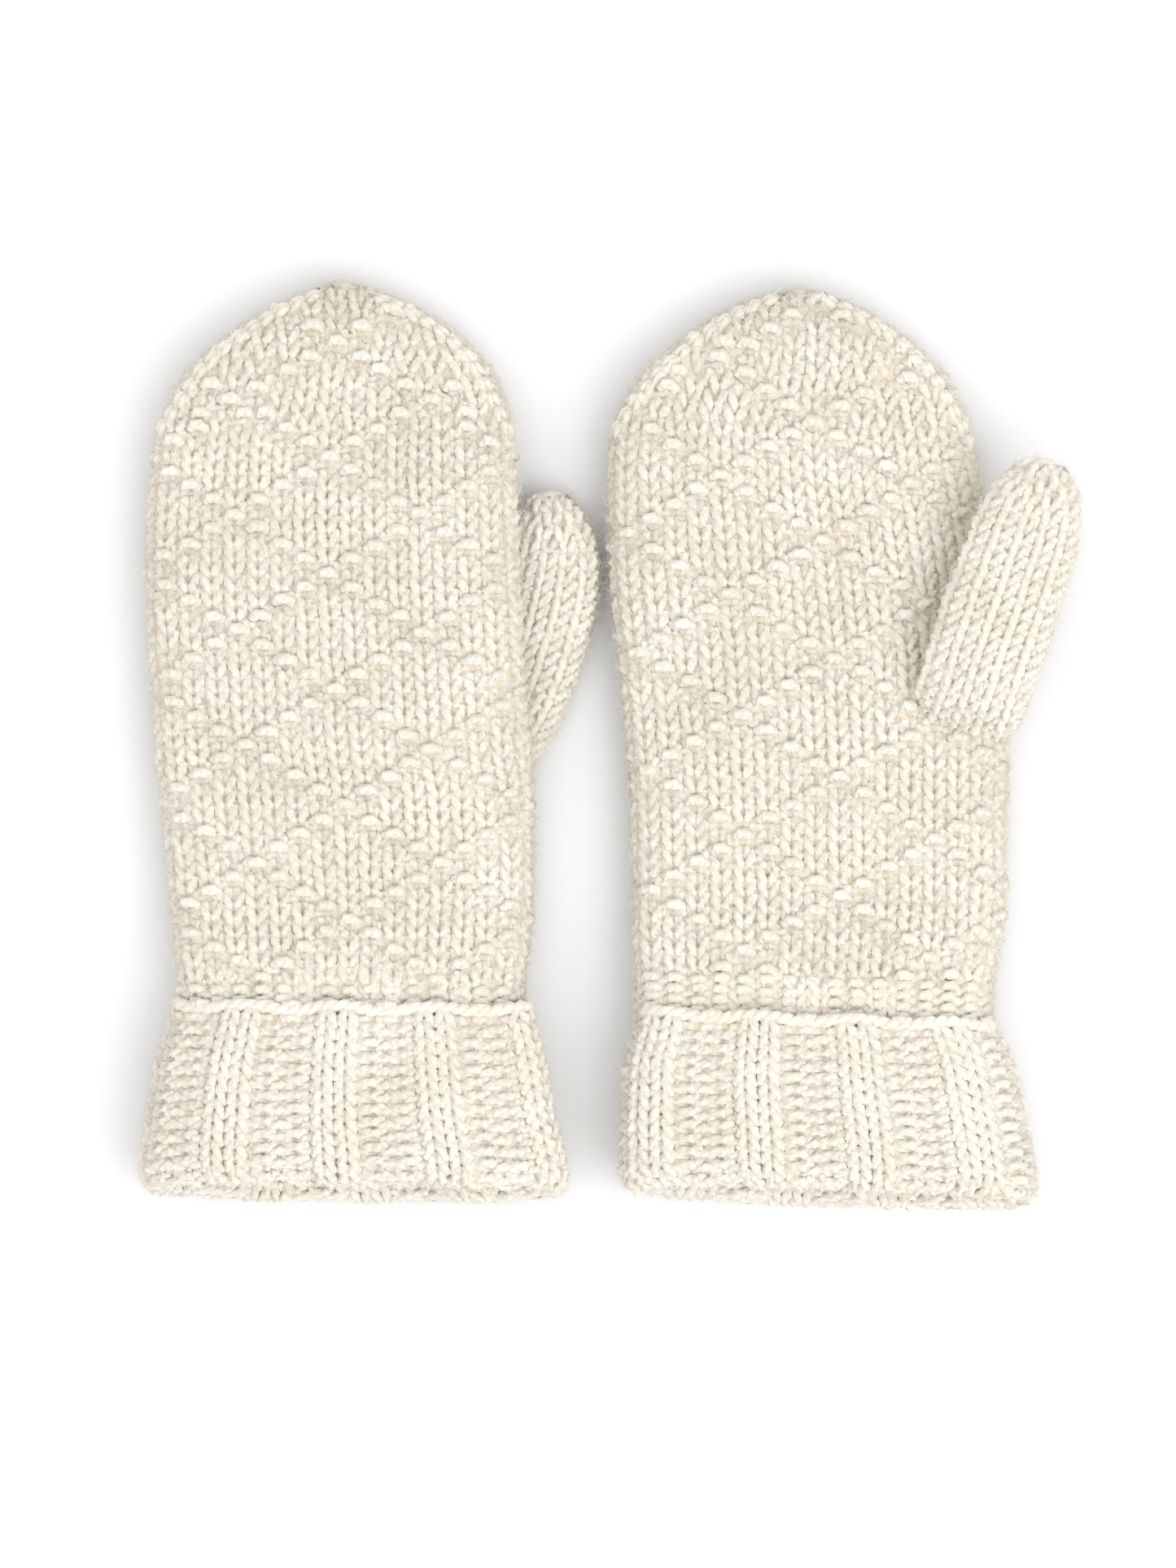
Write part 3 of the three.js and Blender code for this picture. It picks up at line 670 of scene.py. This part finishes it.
def build_thumb(side):
    q = SIDE[side]
    rng = np.random.default_rng(q["seed"] + 5)
    a, b = np.array(q["thumb_from"]), np.array(q["thumb_to"])
    along = np.append((b - a) / np.linalg.norm(b - a), 0)
    across = np.array([along[1], -along[0], 0])
    z = q["thumb_z"] + THUMB_H / 2
    base = np.array([a[0], a[1], 0.0])
    tip = np.array([b[0], b[1], z]) - along * 2.4
    start = base + along * 5.6 - across * 0.8
    if q["under"]:
        p = [np.array([-42.0, -9.0, 13.5]), np.array([-38.0, -3.0, 9.0]), np.array([-30.4, 5.0, z]), np.array([-25.0, 18.0, z])]
        mid = [np.array([-25.0, 18.0, z]), np.array([-20.8, 28.0, z]), np.array([-16.9, 42.0, z]), np.array([-16.0, 52.0, z])]
        bend = np.vstack([bezier(p, np.linspace(0, 1, 60)), bezier(mid, np.linspace(0, 1, 60))[1:]])
    else:
        base = base - across * 1.3
        start = base + along * 0.8
        p = [start + [0, 0, 12.5], start + [0, 0, 19.5], base + along * 5.0 + [0, 0, z], base + along * 16 + [0, 0, z]]
        bend = bezier(p, np.linspace(0, 1, 60))
    run = np.linspace(0, 1, 120)[1:, None]
    line = np.vstack([bend, bend[-1] + (tip - bend[-1]) * run])
    d = np.concatenate([[0], np.cumsum(np.linalg.norm(np.diff(line, axis=0), axis=1))])
    total = d[-1]
    rows = int(round(total / 3.72))
    pitch = total / rows
    v0, dv = -0.5, 0.25
    vs = np.arange(v0, rows + 0.51, dv)
    m = 200
    halves = section(m, 2.3)
    grid = np.zeros((len(vs), m, 3))
    for i, v in enumerate(vs):
        s = np.clip(v * pitch, 0, total)
        c = np.array([np.interp(s, d, line[:, k]) for k in range(3)])
        s0, s1 = max(s - 0.6, 0), min(s + 0.6, total)
        t = np.array([np.interp(s1, d, line[:, k]) - np.interp(s0, d, line[:, k]) for k in range(3)])
        t /= np.linalg.norm(t)
        side_way = across - t * (across @ t)
        side_way /= np.linalg.norm(side_way)
        up = np.cross(side_way, t)
        f = s / total
        wide = np.interp(f, [0, 0.12, 0.3, 0.55, 0.75, 0.86, 0.94, 1.0], [12.4, 12.9, 13.3, 13.3, 12.6, 11.0, 8.2, 3.6])
        high = np.interp(f, [0, 0.12, 0.25, 0.8, 0.92, 1.0], [4.6, 4.1, 3.7, 3.7, 3.3, 2.2])
        ring = []
        for x, zz in halves:
            pt = c + side_way * (wide * x)[:, None] + up * (high * zz)[:, None]
            ring.append(even(pt[:, 0], pt[:, 1], pt[:, 2], m // 2))
        grid[i] = np.vstack(ring)
    surf = Surface(grid, v0, dv, True)
    made = {}
    cut = 6
    for part, (ja, jb) in {"thumb_base": (0, cut), "thumb": (cut, rows)}.items():
        bag = Bag()
        for j in range(ja, jb):
            left = rows - 1 - j
            n = {0: 5, 1: 7, 2: 9}.get(left, THUMB_STITCHES)
            one = np.ones(n)
            c, nr, r = knit_row(surf, j + 0.5, n, one, one, rng, phase=0.1, radius=1.46, depth=1.25, lean=-0.11, reach=0.9)
            bag.tube(c, nr, r)
        made[part] = bag.make(f"{side}_{part}_stitches", THUMB_WOOL)
        # the sheet behind these strands, coloured with painted crevice shade
        skin = Bag()
        thin_shell(skin, surf, ja, jb)
        made[part + "_felt"] = skin.make(f"{side}_{part}_felt", PAINTED_SHADE_SHEET)
        made[part + "_fuzz"] = fibres(surf, ja, jb, int((jb - ja) * FUZZ * 0.34), rng, FIBRE, f"{side}_{part}_fuzz", lift=2.1)
    bag = Bag()
    p, _ = surf.at(np.full(48, rows + 0.1), np.arange(48) / 48)
    mid = p.mean(0)
    for scale, step in ((0.75, 0.5), (0.3, 0.9)):
        c = mid + (p - mid) * scale + along * step
        bag.tube(c, c - mid + along, 1.35)
    made["thumb_tip"] = bag.make(f"{side}_thumb_tip_stitches", THUMB_WOOL)
    return surf, made


def build_cuff(side):
    q = SIDE[side]
    rng = np.random.default_rng(q["seed"] + 9)
    read = table(CUFF[side])
    inner = 9.0
    rho = (inner - SKIN) / 2
    y0, y1 = q["cuff_top"] - 0.2, q["cuff_end"] + SKIN + rho + 1.6
    n1, n2, n3 = 120, 24, 120
    ang = np.linspace(0, math.pi, n2 + 1)[1:-1]
    path = np.vstack([
        np.stack([np.linspace(y0, y1, n1), np.full(n1, SKIN)], -1),
        np.stack([y1 - rho * np.sin(ang), SKIN + rho - rho * np.cos(ang)], -1),
        np.stack([np.linspace(y1, -60.0, n3), np.full(n3, inner)], -1)])
    d = np.concatenate([[0], np.cumsum(np.linalg.norm(np.diff(path, axis=0), axis=1))])
    pitch = q["rib_pitch"]
    total = d[-1] / pitch
    outer_rows = int(round((y0 - y1 + 1.5 * rho) / pitch))
    rows = int(total)
    v0, dv = -0.5, 0.25
    vs = np.arange(v0, rows + 0.51, dv)
    m = 384
    halves = section(m)
    grid = np.zeros((len(vs), m, 3))
    for i, v in enumerate(vs):
        s = v * pitch
        y = np.interp(s, d, path[:, 0]) - min(s, 0) * 1.0
        inset = np.interp(s, d, path[:, 1])
        c, a = read(y)
        a = a - inset
        lean = 1.6 * smooth(-66, -76, y) if inset < 5 else 1.6
        zlo, zhi = inset * 0.84 + 0.5, CUFF_H - inset * 0.94 - (1.6 - lean)
        b, zc = (zhi - zlo) / 2, (zhi + zlo) / 2
        ring = []
        for x, z in halves:
            px, pz = c + a * x, zc + b * z
            drop = (SLANT + 2.2) * (1 - np.clip(pz / CUFF_H, 0, 1)) * smooth(q["cuff_top"], q["cuff_end"], y)
            py = y + q["tilt"] * (px - c) - drop
            pz = pz + 0.45 * wobble(px, py, q["seed"] + 3) * np.clip(z, 0, 1)
            ring.append(even(px, py, pz, m // 2))
        grid[i] = np.vstack(ring)
    surf = Surface(grid, v0, dv, True)
    low = np.tile([1.0, 1.0, -1.0, -1.0], 8)
    knots_u = np.array([0, 1, 2, 3, 4.0])
    knots_s = np.array([0, 0.21, 0.42, 0.71, 1.0])

    def warp(u):
        k = np.floor(u / 4)
        return (k + np.interp(u - 4 * k, knots_u, knots_s)) / 8 + q["rib_phase"]

    def relief(s, v):
        p = ((s - q["rib_phase"]) * 8) % 1.0
        up = np.where(p < 0.42, np.sin(math.pi * p / 0.42), -np.sin(math.pi * (p - 0.42) / 0.58))
        return 0.75 * up * (1 - 0.75 * np.exp(-((v - outer_rows) / 1.9) ** 2))

    made = {}
    for part, (ja, jb) in {"cuff_outer": (0, outer_rows), "cuff_inner": (outer_rows, rows)}.items():
        bag = Bag()
        for j in range(ja, jb):
            c, nr, r = knit_row(surf, j + 0.5, 32, low, low, rng, warp=warp, relief=relief, radius=1.42, depth=1.2,
                                puff=0.15, wander=0.65, lean=0.0, swell=0.03, reach=0.92)
            bag.tube(c, nr, r)
        made[part] = bag.make(f"{side}_{part}_stitches", CUFF_WOOL)
        # the sheet behind these strands, coloured with painted crevice shade
        skin = Bag()
        thin_shell(skin, surf, ja, jb, back=0.6)
        made[part + "_felt"] = skin.make(f"{side}_{part}_felt", PAINTED_SHADE_SHEET)
        made[part + "_fuzz"] = fibres(surf, ja, jb, int((jb - ja) * FUZZ * (0.9 if part == "cuff_outer" else 0.35)), rng, FIBRE,
                                      f"{side}_{part}_fuzz", lift=2.0, relief=relief)
    # the smooth cast-on chain: two strands wound round each other
    count = 32 * 14
    s = np.arange(count) / count
    turn = 2 * math.pi * 32 * s
    bag = Bag()
    for k in range(2):
        wave = np.interp(((s - q["rib_phase"]) * 8) % 1.0, [0, 0.21, 0.42, 0.71, 1.0], [0.0, -0.12, 0.0, 0.30, 0.0])
        v = -0.2 + wave + 0.16 * np.sin(turn + k * math.pi)
        p, n = surf.at(v, s)
        c = p + n * (0.55 + 0.9 * relief(s, v) + 0.45 * np.cos(turn + k * math.pi))[:, None]
        bag.tube(c, n, 1.3)
    made["edge"] = bag.make(f"{side}_cast_on_chain", EDGE_WOOL)
    return surf, made


# ------------------------------------------------------------------------- object
for side in ("left", "right"):
    body, fingers, thumb_body, cuff_body = f"{side}_mitten", f"{side}_fingers", f"{side}_thumb_tube", f"{side}_cuff"
    _, hand = build_hand(side)
    _, thumb = build_thumb(side)
    _, cuff = build_cuff(side)
    cx = centre_of(side, FOLD_Y)
    for name in ("welt", "hand_lower", "hand_upper"):
        for key in (name, name + "_felt", name + "_fuzz"):
            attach(hand[key], body)
    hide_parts(f"{side}_purl_welt")
    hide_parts(f"{side}_hand")
    for key in ("hand_fold", "hand_fold_felt", "hand_fold_fuzz"):
        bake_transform(hand[key])
    for key in ("finger", "finger_felt", "finger_fuzz", "tip", "chain"):
        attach(hand[key], fingers)
    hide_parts(f"{side}_finger_end")
    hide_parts(f"{side}_finger_tip_gather")
    for key in ("thumb_base", "thumb_base_felt", "thumb_base_fuzz"):
        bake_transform(thumb[key])
    for key in ("thumb", "thumb_felt", "thumb_fuzz", "thumb_tip"):
        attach(thumb[key], thumb_body)
    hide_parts(f"{side}_thumb")
    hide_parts(f"{side}_thumb_tip_gather")
    for key in ("cuff_outer", "cuff_outer_felt", "cuff_outer_fuzz", "edge"):
        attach(cuff[key], cuff_body)
    for key in ("cuff_inner", "cuff_inner_felt", "cuff_inner_fuzz"):
        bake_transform(cuff[key])
    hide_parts(f"{side}_turned_up_rib")
    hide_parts(f"{side}_inner_rib")
    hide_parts(f"{side}_cast_on_edge")

# -------------------------------------------------------------------- floor, light
me = bpy.data.meshes.new("floor")
me.from_pydata([(-3, -3, 0), (3, -3, 0), (3, 3, 0), (-3, 3, 0)], [], [(0, 1, 2, 3)])
floor = bpy.data.objects.new("floor", me)
bpy.context.scene.collection.objects.link(floor)
floor.location.z = -0.0004
fm = bpy.data.materials.new("floor_white")
fm.use_nodes = True
fb = fm.node_tree.nodes["Principled BSDF"]
fb.inputs["Base Color"].default_value = (0.885, 0.885, 0.893, 1)
fb.inputs["Roughness"].default_value = 0.9
fb.inputs["Specular IOR Level"].default_value = 0.1
me.materials.append(fm)

scene = bpy.context.scene
world = bpy.data.worlds.new("studio")
scene.world = world
world.use_nodes = True
bg = world.node_tree.nodes["Background"]
bg.inputs[0].default_value = (1.0, 1.0, 1.0, 1)
bg.inputs[1].default_value = 1.0


def softbox(name, loc, size, power, target=(0, 0, 0)):
    data = bpy.data.lights.new(name, "AREA")
    data.shape = "SQUARE"
    data.size = size
    data.energy = power
    ob = bpy.data.objects.new(name, data)
    ob.location = loc
    from mathutils import Vector
    ob.rotation_euler = (Vector(target) - Vector(loc)).to_track_quat("-Z", "Y").to_euler()
    scene.collection.objects.link(ob)


softbox("key", (0.80, -0.55, 1.35), 1.2, 9.5)
softbox("fill", (-0.5, -0.6, 1.6), 1.4, 2.5)

cam_data = bpy.data.cameras.new("camera")
cam = bpy.data.objects.new("camera", cam_data)
scene.collection.objects.link(cam)
scene.camera = cam
CAM_H = 1.40
cam.location = ((-5.7 - 0.1) * MM, (-9.8 + 0.77) * MM, CAM_H)
cam.rotation_euler = (0, 0, 0)
cam_data.sensor_fit = "VERTICAL"
cam_data.sensor_height = 36.0
cam_data.sensor_width = 27.0
cam_data.lens = 36.0 * (CAM_H * 1000 - 14.0) / 423.7
cam_data.clip_start = 0.05
cam_data.clip_end = 20
scene.view_settings.view_transform = "Standard"
scene.view_settings.look = "None"
